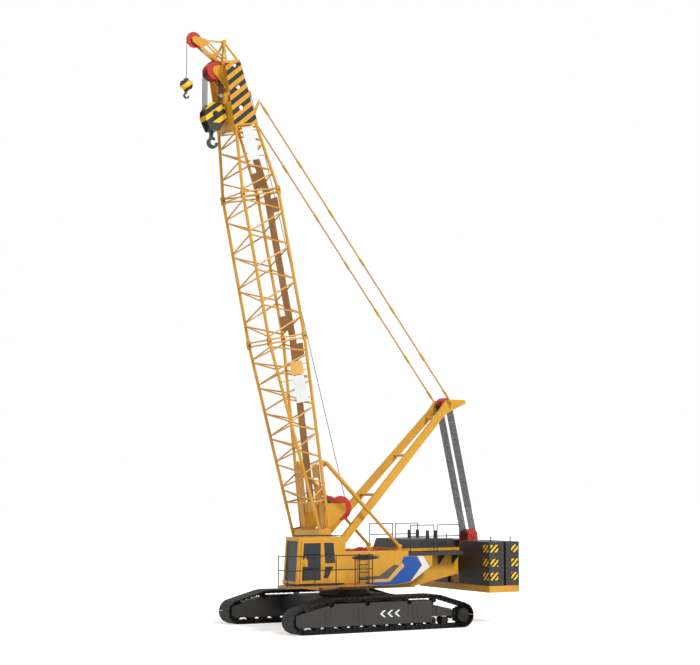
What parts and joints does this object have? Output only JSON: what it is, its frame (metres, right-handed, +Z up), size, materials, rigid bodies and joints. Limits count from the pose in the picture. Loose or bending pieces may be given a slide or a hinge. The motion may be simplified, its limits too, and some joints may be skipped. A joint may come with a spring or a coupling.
{
  "type": "crawler crane",
  "caption": "Crawler crane with a lattice boom, live mast, tip jib, two hooks, slewing upper structure, glazed cab with a sliding door, and a stacked counterweight.",
  "frame": {"origin": "on the ground, under the centre of rotation of the upper structure", "axes": "+X forward, the way the boom leans; +Y to the crane's left, where the cab is; +Z up"},
  "size_m": [13.8523, 6.4, 22.9794],
  "materials": {
    "orange_paint": "gloss enamel on welded steel",
    "walkway_paint": "gloss enamel on perforated plate",
    "dark_grey_paint": "satin enamel on cast and welded steel",
    "black_paint": "satin enamel on steel",
    "cast_track": "bare cast steel, worn on its faces",
    "red_paint": "gloss enamel on cast sheaves and drums",
    "warning_paint": "yellow enamel with black slanted stripes",
    "forged_steel": "forged and machined steel",
    "wire_rope": "greased wire rope",
    "tinted_glass": "tinted safety glass",
    "seat_fabric": "woven seat cover"
  },
  "bodies": {
    "undercarriage": {"car_body": "black_paint", "slewing_ring_lower": "black_paint", "left_crawler_frame": "dark_grey_paint", "right_crawler_frame": "dark_grey_paint", "left_track": "cast_track", "right_track": "cast_track", "left_rollers": "cast_track", "right_rollers": "cast_track", "left_sprocket": "cast_track", "right_sprocket": "cast_track"},
    "upperworks": {"slewing_ring_upper": "dark_grey_paint", "turntable_frame": "orange_paint", "left_housing": "orange_paint", "right_housing": "orange_paint", "engine": "dark_grey_paint", "engine_hood": "dark_grey_paint", "deck_winches": "red_paint", "rear_walkways": "dark_grey_paint", "counterweight_tray": "orange_paint", "counterweight_left": "dark_grey_paint", "counterweight_right": "dark_grey_paint", "lower_luffing_block": "red_paint", "cab_platform": "walkway_paint", "cab_floor": "dark_grey_paint", "cab_left_wall": "orange_paint", "cab_right_wall": "orange_paint", "cab_rear_wall": "orange_paint", "cab_front_frame": "orange_paint", "cab_roof": "orange_paint", "cab_glass": "tinted_glass", "operator_seat": "seat_fabric", "handrails": "black_paint"},
    "cab_door": {"cab_door": "orange_paint", "cab_door_glass": "tinted_glass"},
    "boom": {"boom_foot": "orange_paint", "boom_base_chords": "orange_paint", "boom_base_lacings": "orange_paint", "boom_insert_chords": "orange_paint", "boom_insert_lacings": "orange_paint", "boom_top_chords": "orange_paint", "boom_top_lacings": "orange_paint", "boom_head": "orange_paint", "head_sheaves": "red_paint", "tip_jib": "orange_paint", "boom_winch": "red_paint", "backstops": "orange_paint", "boom_walkway": "walkway_paint", "boom_pendants": "orange_paint", "hoist_line": "wire_rope"},
    "mast": {"mast_frame": "orange_paint", "mast_head_sheaves": "red_paint"},
    "lower_ropes": {"luffing_ropes_lower": "wire_rope"},
    "upper_ropes": {"luffing_ropes_upper": "wire_rope"},
    "hook_block": {"hoist_falls": "wire_rope", "hook_block": "warning_paint", "main_hook": "forged_steel"},
    "ball_hook": {"ball_rope": "wire_rope", "ball_hook": "warning_paint"}
  },
  "joints": [
    {"name": "slew", "type": "hinge", "parent": "undercarriage", "child": "upperworks", "pos_m": [0, 0, 1.4], "axis": [0, 0, 1], "continuous": true},
    {"name": "boom_luff", "type": "hinge", "parent": "upperworks", "child": "boom", "pos_m": [1.3, 0, 2.6], "axis": [0, 1, 0], "range_deg": [0, 48.3]},
    {"name": "mast_luff", "type": "hinge", "parent": "upperworks", "child": "mast", "pos_m": [1.3, 0, 2.6], "axis": [0, 1, 0], "range_deg": [0, 48.3]},
    {"name": "lower_rope_swing", "type": "hinge", "parent": "upperworks", "child": "lower_ropes", "pos_m": [-5.9, 0, 3.45], "axis": [0, 1, 0], "range_deg": [0, 32.8]},
    {"name": "upper_rope_swing", "type": "hinge", "parent": "mast", "child": "upper_ropes", "pos_m": [-4.7, 0, 8.85019], "axis": [0, 1, 0], "range_deg": [-15.52, 0]},
    {"name": "hook_swing", "type": "hinge", "parent": "boom", "child": "hook_block", "pos_m": [5.8905, 0, 21.51204], "axis": [0, -1, 0], "range_deg": [0, 48.3]},
    {"name": "ball_swing", "type": "hinge", "parent": "boom", "child": "ball_hook", "pos_m": [6.71228, 0, 22.66944], "axis": [0, -1, 0], "range_deg": [0, 48.3]},
    {"name": "cab_door_slide", "type": "slide", "parent": "upperworks", "child": "cab_door", "axis": [-1, 0, 0], "range_m": [0, 0.62]}
  ],
  "couplings": [
    {"joint": "mast_luff", "follows": "boom_luff", "ratio": 1},
    {"joint": "lower_rope_swing", "follows": "boom_luff", "ratio": 0.6789},
    {"joint": "upper_rope_swing", "follows": "boom_luff", "ratio": -0.3211},
    {"joint": "hook_swing", "follows": "boom_luff", "ratio": 1},
    {"joint": "ball_swing", "follows": "boom_luff", "ratio": 1}
  ]
}
